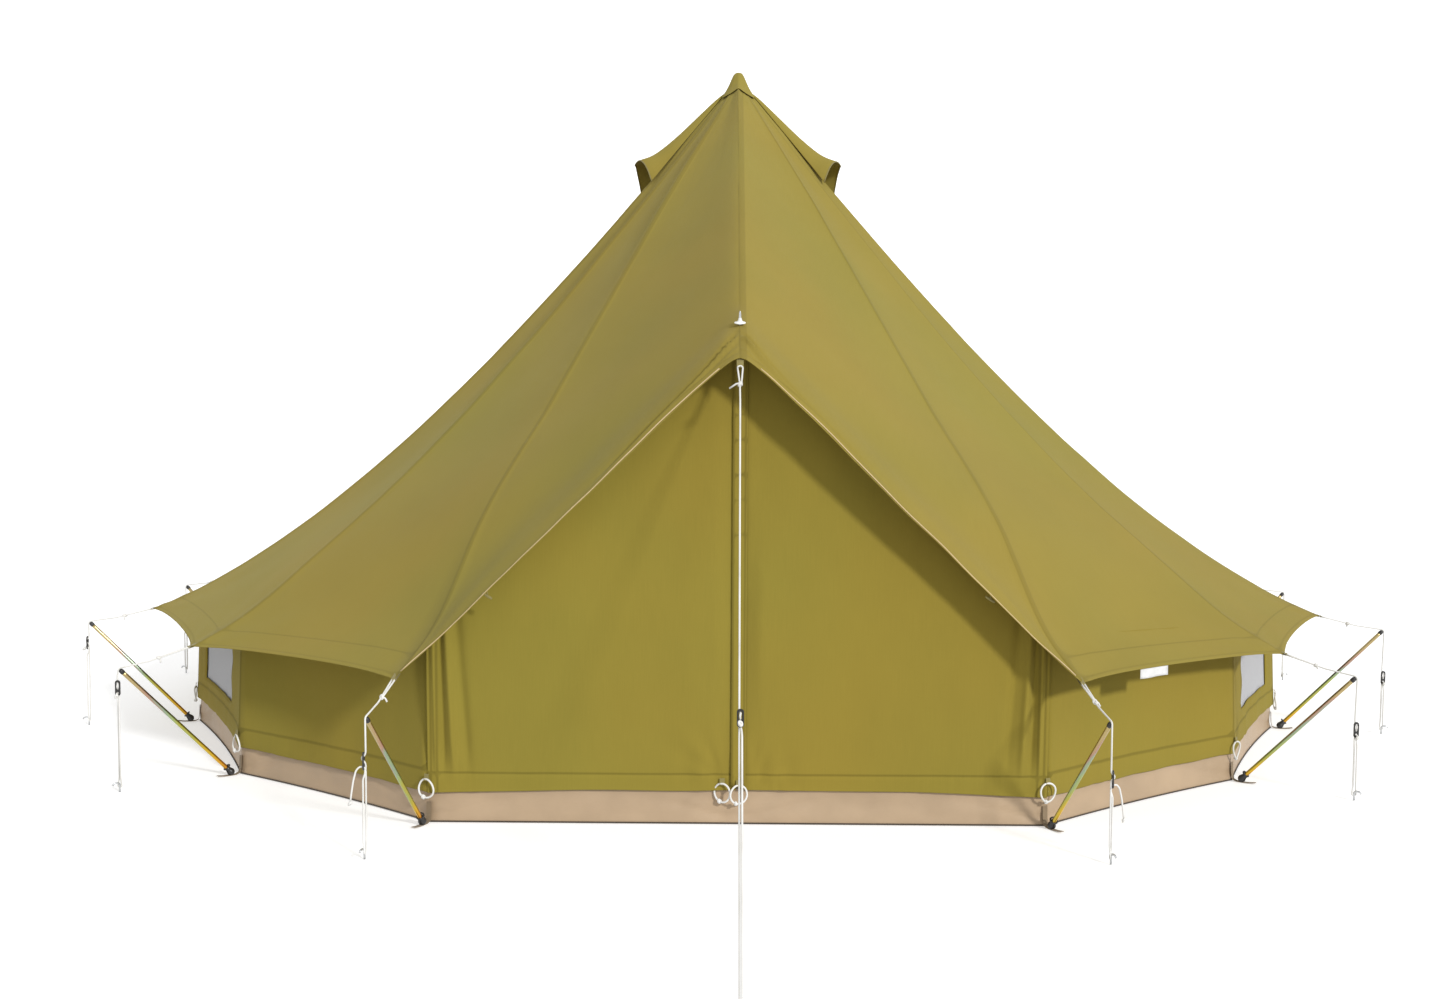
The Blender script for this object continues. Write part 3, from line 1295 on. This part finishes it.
def build_hood_trim():
    """Tan binding inside the hood's hem, toggles behind it and the webbing loop at its lip."""
    for name, sector in (("left", SECTORS - 1), ("right", 0)):
        path = []
        for u in np.linspace(0.06, 0.985, 60):
            across = u if sector == 0 else 1 - u
            edge = roof_point(sector, across, 0.9965)
            edge += tab_pull(sector, across, 0.9965)
            path.append(edge + compass((sector + across) * SECTOR_ANGLE, 1, 1).normalized() * 0.0022)
        add_piece("hood_binding_" + name, tube_mesh(path, 0.0022, 8), "binding")
        across = 0.74 if sector == 0 else 0.26
        anchor = roof_point(sector, across, 0.995) - UP * 0.012
        centre = anchor + Vector((0, 0.004, -0.006))
        bar = [centre + Vector((0.016, 0, -0.010)) * t for t in (-1, -0.6, 0.6, 1)]
        loop = [anchor + Vector((0, 0, 0.010)), anchor + Vector((0.002, 0.002, 0)), bar[1].lerp(bar[2], 0.5)]
        toggle = [tube_mesh(bar, [0.003, 0.0045, 0.0045, 0.003], 12)]
        toggle.append(tube_mesh(loop, 0.0016, 8))
        add_piece("hood_toggle_" + name, joined(toggle), "olive_strap")
    axes = (Vector((0, 1, 0)), UP)
    steps = ((0.035, 0.012), (0.010, -0.002), (-0.001, -0.014))
    steps += ((-0.003, -0.030), (0.001, -0.032), (0.004, -0.020))
    path = trail(roof_point(0, 0.0, 1.0), axes, steps)
    normals = trail(Vector(), axes, ((-0.4, 1), (-0.7, 0.7), (-1, 0.1), (-1, -0.3), (0.2, -1), (1, 0)))
    add_strap("lip_loop", path, normals, 0.023, "olive_strap", 0.0016)


# ---------------------------------------------------------------- groundsheet

def build_tub():
    """The groundsheet: a floor with an upstand, gusseted at the corners."""
    per_panel = 32
    front = 60
    columns = []
    for sector in range(1, SECTORS - 1):
        for c in range(per_panel):
            position = sector + c / per_panel
            columns.append((base_point(position, TUB_RADIUS - 0.004, 0), position))
    corner_left = compass((SECTORS - 1) * SECTOR_ANGLE, TUB_RADIUS)
    corner_right = compass(SECTOR_ANGLE, TUB_RADIUS)
    for i in range(front):
        chord = corner_left.lerp(corner_right, i / front)
        columns.append((chord * (1 - 0.0016), SECTORS - 1 + 2 * i / front))
    levels = [("floor", s) for s in (0.02, 0.2, 0.4, 0.6, 0.8, 0.94, 0.985)]
    foot_row = len(levels)
    levels += [("side", h) for h in (0.0, 0.006, 0.014, *np.linspace(0.022, TUB_HEIGHT, 15))]
    rows = [[tub_point(kind, value, edge, position) for edge, position in columns] for kind, value in levels]
    uvs = [[(0.034 * c, value) for c in range(len(columns) + 1)] for kind, value in levels]
    tub = add_cloth("tub_cloth", grid_mesh(rows, uvs, closed=True), "tub", 0.0014)
    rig.replaces(tub, "groundsheet")
    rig.slot(tub, "tub_fabric")
    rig.sheet(tub, flat=(5.25, 5.25), held="laid", rests_on=[], area=21.0)
    edge = [p + p.xy.normalized().to_3d() * 0.002 + UP * 0.003 for p in rows[foot_row]]
    add_piece("tub_piping", tube_mesh(edge, 0.0028, 8, closed=True), "dark_strap")


def tub_point(kind, value, edge, position):
    """A point of the floor, at a share of its radius, or of the upstand, at a height."""
    if kind == "floor":
        point = edge * value
        point.z = 0.0015
        return point
    outward = edge.normalized()
    ripple = 0.004 * waver(position * 6.5, value * 12, 2.0) + 0.0035 * waver(position * 17, value * 20, 6.0)
    ripple *= smooth_step(0.0, 0.03, value)
    from_corner = min(position % 1, 1 - position % 1) * SECTOR_ANGLE * TUB_RADIUS
    fading = smooth_step(0.0, 0.04, from_corner) * (1 - smooth_step(0.12, 0.42, from_corner))
    for rise in (0.26, 0.62):
        ripple -= 0.006 * fading * math.exp(-(((value - 0.015 - rise * from_corner) / 0.011) ** 2))
    lean = -0.006 * value / TUB_HEIGHT
    return edge + outward * (ripple + lean) + UP * (value + 0.0015)


# ---------------------------------------------------------------- corners: poles, ropes, rings

def corner_list():
    """Every pole's name, its angle from the door and its runner's height."""
    corners = []
    for side, sign in (("left", -1), ("right", 1)):
        for k, height in enumerate(RUNNER_HEIGHTS[side], start=1):
            corners.append((f"{side}_{k}", sign * k * SECTOR_ANGLE, height))
    corners.append(("back", math.pi, RUNNER_HEIGHTS["back"][0]))
    return corners


def lean_of(angle):
    """The front poles lean more forward than outward."""
    if abs(abs(angle) - SECTOR_ANGLE) < 0.01:
        return math.copysign(FRONT_LEAN_ANGLE, angle)
    return angle


def tip_of(angle):
    return compass(angle, FOOT_RADIUS) + compass(lean_of(angle), POLE_RUN, TIP_HEIGHT)


def runner_facing(name, angle):
    """The way a runner's flat face looks: edge-on or face-on, as each one happens to hang."""
    if name in ("left_2", "right_2", "right_3"):
        return Vector((0, -1, 0))
    if abs(angle) < math.pi / 2:
        return Vector((math.copysign(1, angle), 0, 0))
    return compass(angle, 1)


def build_pole(name, angle):
    """An outrigger pole: plated tube, black tip cap and black ball foot with its clip."""
    foot = compass(angle, FOOT_RADIUS, POLE_FOOT + 0.0003)
    turn = UP.rotation_difference(tip_of(angle) - foot).to_matrix().to_4x4()
    place = Matrix.Translation(foot) @ turn
    length = math.hypot(POLE_RUN, TIP_HEIGHT - POLE_FOOT)
    path = [UP * z for z in np.linspace(POLE_FOOT * 0.8, length - 0.004, 30)]
    mesh = tube_mesh(path, POLE_TUBE, 24)
    mesh.transform(place)
    tube = add_piece("pole_tube_" + name, mesh, "zinc")
    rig.replaces(tube, "outrigger_pole_" + name)
    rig.slot(tube, "zinc_steel")
    r = POLE_CAP + 0.0006
    tip = [(0, length + r), (r * 0.5, length + r * 0.86), (r * 0.87, length + r * 0.5), (r, length)]
    tip += [(r, length - 0.010), (r * 0.96, length - 0.011), (POLE_TUBE, length - 0.011)]
    ball = [(POLE_TUBE, 0.026), (POLE_TUBE + 0.0025, 0.025), (POLE_TUBE + 0.0025, 0.017), (0.0125, 0.0088)]
    ball += [(POLE_FOOT * math.cos(a), POLE_FOOT * math.sin(a)) for a in np.linspace(0.4, -math.pi / 2, 10)]
    ball[-1] = (0, -POLE_FOOT)
    clip = []
    for a in np.linspace(-0.9, math.pi + 0.9, 22):
        clip.append(Vector((0.0125 * math.cos(a), 0.0125 * math.sin(a) + 0.004, 0.024)))
    meshes = [turned_mesh(tip), turned_mesh(ball), tube_mesh(clip, 0.0032, 8)]
    mesh = joined(meshes)
    mesh.transform(place)
    add_piece("pole_ends_" + name, mesh, "black", slot="black_plastic")


def knot_path(centre, along, radius=0.0052, turns=2.6, height=0.010):
    """A rope wound tightly round another."""
    side = along.orthogonal().normalized()
    other = along.cross(side)
    path = []
    count = int(turns * 14)
    for i in range(count + 1):
        t = i / count
        a = math.tau * turns * t
        swing = along * ((t - 0.5) * height + 0.0035 * math.sin(a))
        path.append(centre + side * (radius * math.cos(a)) + other * (radius * math.sin(a)) + swing)
    return path


def rope_piece(name, meshes, body="tent"):
    mesh = joined(meshes) if len(meshes) > 1 else meshes[0]
    return add_piece(name, mesh, "rope", body, slot="guy_rope")


def rope_tube(path, radius=ROPE, closed=False):
    return tube_mesh(path, radius, 10, closed=closed)


def knot_meshes(bight, wound, tail, tail_bend=KNOT_BEND):
    """The rope's fold through its tab, the knot that holds the fold and the knot's tail."""
    bight = rounded_line(bight, KNOT_BEND)
    tail = rounded_line(tail, tail_bend)
    return [rope_tube(path) for path in (bight, wound, tail)]


def add_cord(name, path, body, start, end, far_end, with_pieces):
    """A stretch of guy rope between the tent and its runner, which it follows from start to end."""
    rope = rope_piece(name, [rope_tube(path)], body=None)
    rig.blend(rope, "tent", body, start=start, end=end)
    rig.cord(
        rope,
        exit=path[0],
        length=line_length(path),
        diameter=2 * ROPE,
        far_end=far_end,
        stiffness="limp",
        lay="taut",
        path=path,
        with_pieces=with_pieces,
    )
    return rope


def add_guy(name, upper, knotted, lower, ball, ends, loose_end=False):
    """One guy rope: a cord from its tab to its runner, and one from the runner round its peg."""
    body = "runner_" + name
    top, above, below, low = ends
    knot = rope_piece("guy_knot_" + name, knotted)
    add_cord("guy_upper_" + name, upper, body, top, above, "object", [knot])
    end_knot = rope_piece("guy_end_" + name, [rope_tube(ball)], None if loose_end else body)
    if loose_end:
        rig.blend(end_knot, "tent", body, low, below)
    return add_cord("guy_lower_" + name, lower, body, low, below, "knot", [end_knot])


def weave_path(centre, along, face, across):
    """The rope through the runner: over the top edge, out through the slot and back."""
    behind = (-STRAND_OFFSET, -0.003)
    front = STRAND_OFFSET - 0.0008
    steps = ((0.045, *behind), (0.028, *behind), (0.019, -0.0035, 0), (0.013, front, 0.001))
    steps += ((0.004, front, -0.001), (-0.002, -0.0030, 0), (-0.012, *behind), (-0.030, *behind))
    return trail(centre, (along, face, across), steps)


def lower_path(centre, along, face, across, peg, long_tail=False):
    """From behind the runner down round the peg, back up and out through the lower hole."""
    behind = face * -STRAND_OFFSET - across * 0.003
    second = face * 0.002 + across * 0.0045
    hole = centre - along * 0.018
    down = peg + along * 0.030
    points = [centre - along * 0.031 + behind, down + behind]
    for degrees in (200, 225, 255, 285, 315, 340):
        a = math.radians(degrees)
        points.append(peg + across * (0.0075 * math.cos(a)) + along * (0.0075 * math.sin(a)) - face * 0.002)
    points += [down + second, centre - along * 0.060 + second]
    axes = (face, along, across)
    points += trail(hole, axes, ((-0.0055, -0.020, 0.0035), (-0.004, -0.004, 0), (0.006, 0, 0)))
    steps = ((0.012, -0.002, 0), (0.015, -0.010, 0))
    if long_tail:
        falls = ((0.014, -0.001), (0.024, -0.012), (0.032, -0.045), (0.038, -0.085), (0.042, -0.118))
        steps = [(away, fall, away * 0.3) for away, fall in falls]
    return rounded_line(points + trail(hole, axes, steps), 0.008)


def build_station(name, angle, height):
    """The guy rope of one pole with its knot, its runner and its peg."""
    outward = compass(lean_of(angle), 1)
    face = runner_facing(name, angle)
    across = UP.cross(face)
    tip = tip_of(angle)
    tab = seam_point(round(angle / SECTOR_ANGLE) % SECTORS, 1, TAB_RADIUS)
    toward = (tip - tab).normalized()
    beside = toward.cross(UP).normalized()
    knot = tab.lerp(tip, 0.46)
    start = tab + toward * 0.010
    points = [start + beside * 0.005, knot + beside * 0.001, tab.lerp(tip, 0.6)]
    for degrees in (14, 40, 66, 90):
        a = math.radians(degrees)
        points.append(tip + (outward * math.sin(a) + UP * math.cos(a)) * (POLE_CAP + ROPE + 0.0010))
    strand = points[-1]
    middle = strand + face * STRAND_OFFSET
    centre = Vector((*middle.xy, height))
    peg = Vector((*middle.xy, 0.026))
    upper = rounded_line(points + weave_path(centre, UP, face, across), KNOT_BEND)
    bight = [start + beside * 0.005, start - toward * 0.006, start - beside * 0.005, knot - beside * 0.003]
    tail = [knot - beside * 0.004, knot - beside * 0.012 - UP * 0.004, knot - beside * 0.018 - UP * 0.016]
    knotted = knot_meshes(bight, knot_path(knot, toward), tail)
    long_tail = name in ("left_1", "right_1")
    lower = lower_path(centre, UP, face, across, peg, long_tail)
    ball = knot_path(lower[-1], (lower[-1] - lower[-2]).normalized(), 0.0042, 2.2, 0.007)
    heights = (TIP_HEIGHT - 0.004, height + BLEND_FROM_CENTRE, height - BLEND_FROM_CENTRE, 0.05)
    ends = [Vector((*strand.xy, z)) for z in heights]
    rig.replaces(add_guy(name, upper, knotted, lower, ball, ends, long_tail), "guy_rope_" + name)
    place_runner(name, centre, face, UP)
    build_peg("ground_peg_" + name, peg.xy, compass(angle, 1))
    build_tab(name, tab, toward, beside)


def build_tab(name, tab, toward, beside):
    """A folded loop of webbing on the corner of the eave."""
    normal = toward.cross(beside)
    steps = ((-0.045, 0.003), (-0.010, 0.0035), (0.008, 0.003), (0.012, 0), (0.008, -0.003))
    steps += ((-0.012, -0.0035), (-0.040, -0.0035))
    normals = [normal, normal, normal, toward, -normal, -normal, -normal]
    add_strap("eave_loop_" + name, trail(tab, (toward, normal), steps), normals, 0.016, "olive_strap")


def build_peg(name, place, away):
    """The head of a steel peg: a bent rod that the rope is hooked under."""
    steps = ((0.001, 0), (0.030, 0), (0.036, 0.006), (0.036, 0.020), (0.028, 0.026))
    path = rounded_line(trail(Vector((*place, 0)), (UP, away), steps), 0.008)
    return add_piece(name, tube_mesh(path, 0.0035, 12), "steel", slot="galvanised_steel")


def arc_points(centre, radius, start, end, count):
    angles = np.linspace(math.radians(start), math.radians(end), count)
    return [(centre[0] + radius * math.cos(a), centre[1] + radius * math.sin(a)) for a in angles]


def runner_mesh():
    """A moulded runner with round ends, a long slot and a round hole, all edges softened."""
    soft = 0.0011
    half = RUNNER_WIDTH / 2 - soft
    straight = RUNNER_LENGTH / 2 - RUNNER_WIDTH / 2
    edge = arc_points((0, straight), half, 0, 180, 17) + arc_points((0, -straight), half, 180, 360, 17)
    slot_half = 0.0042 + soft
    slot = arc_points((0, 0.0185), slot_half, 0, 180, 11) + arc_points((0, -0.002), slot_half, 180, 360, 11)
    hole = arc_points((0, -RUNNER_LENGTH * 0.30), slot_half, 0, 342, 20)
    curve = bpy.data.curves.new("runner", "CURVE")
    curve.dimensions = "2D"
    curve.fill_mode = "BOTH"
    curve.extrude = RUNNER_SHEET / 2 - soft
    curve.bevel_depth = soft
    curve.bevel_resolution = 2
    for outline in (edge, slot, hole):
        spline = curve.splines.new("POLY")
        spline.points.add(len(outline) - 1)
        for control, (x, y) in zip(spline.points, outline):
            control.co = (x, y, 0, 1)
        spline.use_cyclic_u = True
    maker = bpy.data.objects.new("runner", curve)
    bpy.context.scene.collection.objects.link(maker)
    mesh = bpy.data.meshes.new_from_object(maker.evaluated_get(bpy.context.evaluated_depsgraph_get()))
    bpy.data.objects.remove(maker)
    repair(mesh, merge=2e-5)
    return mesh


def place_runner(name, centre, face, along):
    """Stands a runner on its rope, its long side along the rope and its flat side to face."""
    mesh = runner_shape.copy()
    turn = Matrix((along.cross(face), along, face)).transposed().to_4x4()
    mesh.transform(Matrix.Translation(centre) @ turn)
    runner = add_piece("runner_plate_" + name, mesh, "black", "runner_" + name)
    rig.replaces(runner, "guy_runner_" + name)
    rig.slot(runner, "black_plastic")


def build_front_guy():
    """The rope from the hood's lip down to the peg in front of the door."""
    along = (FRONT_ROPE_TOP - FRONT_PEG).normalized()
    side = Vector((1, 0, 0))
    face = side.cross(along)
    across = along.cross(face)
    centre = FRONT_ROPE_TOP.lerp(FRONT_PEG, FRONT_RUNNER_SHARE)
    behind = face * -STRAND_OFFSET
    lip = FRONT_ROPE_TOP + Vector((0, 0.012, 0))
    knot = FRONT_ROPE_TOP - along * 0.075 + behind
    points = [lip - side * 0.009, knot - side * 0.001, FRONT_ROPE_TOP - along * 0.15 + behind]
    upper = rounded_line(points + weave_path(centre, along, face, across), KNOT_BEND)
    bight = [lip - side * 0.009, lip + Vector((0, 0.004, 0.006)), lip + side * 0.009, knot + side * 0.004]
    tail = [knot + side * 0.003, knot - side * 0.010 + face * 0.005, knot - side * 0.036 - UP * 0.014]
    knotted = knot_meshes(bight, knot_path(knot, along, 0.0056, 3.0, 0.012), tail, 0.008)
    peg = FRONT_PEG + UP * 0.006
    lower = lower_path(centre, along, face, across, peg)
    ball = knot_path(lower[-1], face, 0.0048, 2.6, 0.007)
    reach = along * BLEND_FROM_CENTRE
    ends = (centre.lerp(FRONT_ROPE_TOP, 0.9), centre + reach, centre - reach, peg + along * 0.05)
    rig.replaces(add_guy("front", upper, knotted, lower, ball, ends), "front_guy_rope")
    place_runner("front", centre, face, along)
    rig.replaces(build_peg("ground_peg_front", FRONT_PEG.xy, Vector((0, -1, 0))), "front_peg")


def build_ring(name, place, facing, tilt=0.0):
    """A loop of rope through the eyelet in the wall's hem."""
    across = UP.cross(facing).normalized()
    across = (across * math.cos(tilt) + facing * math.sin(tilt)).normalized()
    ring = []
    for i in range(36):
        a = math.tau * i / 36
        sway = 0.003 * math.sin(2 * a + tilt * 5) + 0.006
        rise = RING_HEIGHT * (math.cos(a) - 1)
        ring.append(place + across * (RING_WIDTH * math.sin(a)) + UP * rise + facing * sway)
    knot = knot_path(ring[20], (ring[21] - ring[19]).normalized(), 0.0050, 2.0, 0.008)
    rope_piece("rope_ring_" + name, [rope_tube(ring, ROPE * 1.15, closed=True), rope_tube(knot)])
    steps = ((0.003, 0.018), (0.005, 0.006), (0.007, 0), (0.009, -0.005), (0.005, -0.006), (0.001, 0.006))
    normals = [facing, facing, facing, -UP, -facing, -facing]
    add_strap("hem_loop_" + name, trail(place, (facing, UP), steps), normals, 0.018, "olive_strap")


def build_base_strap(name, angle):
    """The strap from the groundsheet's corner under the pole's foot, with a free end outside it."""
    out = compass(angle, 1)
    bend = compass(angle + 0.25, 1)
    steps = ((0.075, 0.001, 0), (0.030, 0.003, 0), (0.008, 0.008, 0), (0.0025, 0.022, 0), (0.0015, 0.045, 0))
    steps += ((0.0025, 0.065, 0.004), (0.006, 0.085, 0.012))
    path = trail(compass(angle, TUB_RADIUS - 0.004), (UP, out, bend), steps)
    normals = [out, out, (out + UP).normalized(), UP, UP, UP, (UP - out * 0.2).normalized()]
    add_strap("base_strap_" + name, path, normals, 0.020, "tan_strap")


def build_corners():
    for name, angle, height in corner_list():
        build_pole(name, angle)
        build_station(name, angle, height)
        build_base_strap(name, angle)
        build_ring(name, compass(angle, BASE_RADIUS + 0.002, 0.158), compass(angle, 1))
    front = Vector((0, -1, 0))
    build_ring("door_left", Vector((-0.052, DOOR_Y - 0.004, 0.150)), front, 0.5)
    build_ring("door_right", Vector((0.006, DOOR_Y - 0.014, 0.146)), front, -0.35)


# ---------------------------------------------------------------- door frame's spike and inside

def build_spike_cap():
    """The white cap on the spike: a washer with a short stem, and the spike's tip above it."""
    low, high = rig.box("spike_cap")
    x, y = (low.x + high.x) / 2, (low.y + high.y) / 2
    z = ROOF_TOP - RIDGE_SLOPE * abs(y) + 0.003
    tilt = Matrix.Translation((x, y, z)) @ Matrix.Rotation(math.atan(RIDGE_SLOPE) * 0.5, 4, "X")
    pin_profile = [(0, 0.044), (0.0016, 0.0432), (0.0030, 0.038), (0.0036, 0.030), (0.0040, 0.0)]
    pin = turned_mesh(pin_profile, 20)
    pin.transform(tilt)
    add_piece("spike_tip", pin, "steel")
    profile = [(0.0042, 0.019), (0.0056, 0.0185), (0.0064, 0.013), (0.0085, 0.008), (0.012, 0.0052)]
    profile += [(0.0185, 0.0040), (0.020, 0.0030), (0.020, 0.0012), (0.0190, 0), (0.0046, 0)]
    washer = turned_mesh(profile, 32)
    washer.transform(tilt)
    cap = add_piece("spike_washer", washer, "white")
    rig.replaces(cap, "spike_cap")
    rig.slot(cap, "white_plastic")


def dress_cad_nodes():
    """The frame inside the tent keeps its CAD shapes and gets worked steel and plastic."""
    steel = ("centre_pole", "door_frame_leg_left", "door_frame_leg_right", "door_frame_top")
    for node, material in (*((node, "steel") for node in steel), ("centre_pole_foot", "black")):
        frame["nodes"][node].data.materials.clear()
        frame["nodes"][node].data.materials.append(materials[material])


# ---------------------------------------------------------------- studio

def build_floor():
    """A pale floor that curves up into a pale backdrop far away."""
    rows, uvs = [], []
    profile = [(0.5, 0), (6, 0), (14, 0), (30, 0), (38, 0.6), (44, 3.0), (48, 8.0), (50, 16.0)]
    for radius, height in profile:
        rows.append([compass(math.tau * c / 96, radius, height - 0.0006) for c in range(96)])
        uvs.append([(c, radius) for c in range(97)])
    mesh = grid_mesh(rows, uvs, closed=True)
    repair(mesh, fill=lambda edge: edge.is_boundary and edge.verts[0].co.xy.length < 1)
    floor = bpy.data.objects.new("floor", smooth_mesh(mesh))
    material, _, shader = start_material("pale_floor", roughness=0.9)
    shader.inputs["Base Color"].default_value = FLOOR_COLOUR
    shader.inputs["Emission Color"].default_value = WHITE
    shader.inputs["Emission Strength"].default_value = FLOOR_GLOW
    mesh.materials.append(material)
    floor.visible_diffuse = False
    bpy.context.scene.collection.objects.link(floor)
    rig.stage(floor)


def build_lights():
    world = bpy.data.worlds.new("studio")
    world.use_nodes = True
    background = world.node_tree.nodes["Background"]
    background.inputs["Color"].default_value = WHITE
    background.inputs["Strength"].default_value = SKY_STRENGTH
    bpy.context.scene.world = world
    data = bpy.data.lights.new("key", "SUN")
    data.energy = SUN_STRENGTH
    data.angle = math.radians(6)
    key = bpy.data.objects.new("key", data)
    bpy.context.scene.collection.objects.link(key)
    key.rotation_euler = Vector(SUN_FROM).to_track_quat("Z", "Y").to_euler()
    bpy.context.scene.view_settings.view_transform = "Standard"


make_camera()
materials = make_materials()
runner_shape = runner_mesh()
build_corners()
build_front_guy()
build_roof()
build_apex_cap()
for side_name, side_sign in SIDES:
    build_vent_hood(side_name, side_sign)
build_wall()
build_window("right", RIGHT_WINDOW)
build_window("left", LEFT_WINDOW)
for side_name, side_sign in SIDES:
    build_door(side_name, side_sign)
build_storm_flap()
build_zip()
build_label()
build_hood_trim()
build_tub()
build_spike_cap()
dress_cad_nodes()
build_floor()
build_lights()

bpy.context.view_layer.update()
visual_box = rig.bounds()
with open("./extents.json", "w") as f:
    json.dump({"cad": [list(p) for p in cad_box], "visual": [list(p) for p in visual_box]}, f)
